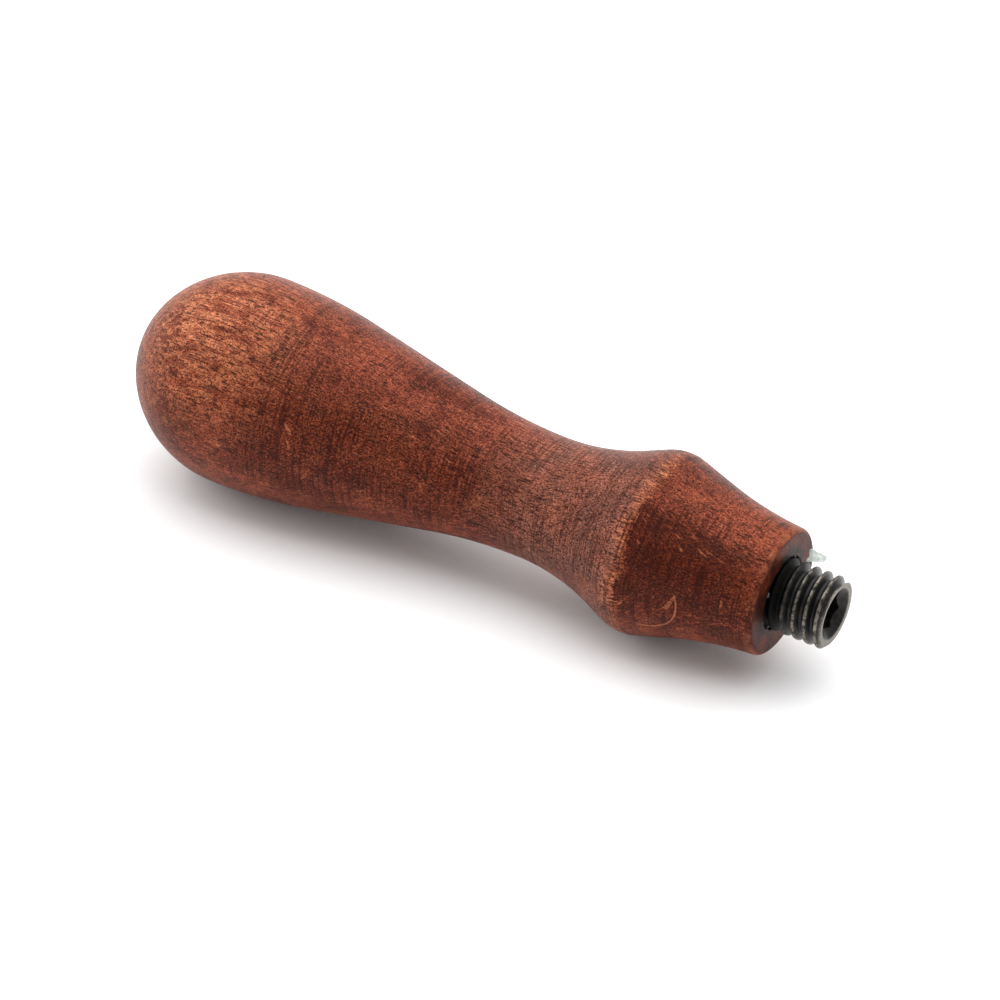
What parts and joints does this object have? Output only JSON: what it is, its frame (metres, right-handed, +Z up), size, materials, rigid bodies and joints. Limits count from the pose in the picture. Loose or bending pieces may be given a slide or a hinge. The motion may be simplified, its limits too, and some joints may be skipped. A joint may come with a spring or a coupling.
{
  "type": "screw-on mandrel handle",
  "caption": "Turned wooden handle with a bulbous grip and a finger ridge, and a hex-socket set screw bonded in its front face as a threaded stud for an interchangeable mandrel.",
  "frame": {"origin": "centre of the handle's front face, on the stud's axis", "axes": "+X along the stud, away from the handle; +Z up as the handle lies on a bench"},
  "size_m": [0.1045, 0.0288, 0.0288],
  "materials": {
    "stained_beech": "red-brown stain under a satin lacquer, worn lighter on the bulb and the ridge",
    "black_oxide_steel": "black oxide, rubbed to grey steel on the thread crests and the end ring",
    "cured_adhesive": "dark glossy cured resin"
  },
  "bodies": {
    "root": {"handle": "stained_beech", "set_screw": "black_oxide_steel", "adhesive": "cured_adhesive"}
  },
  "joints": []
}
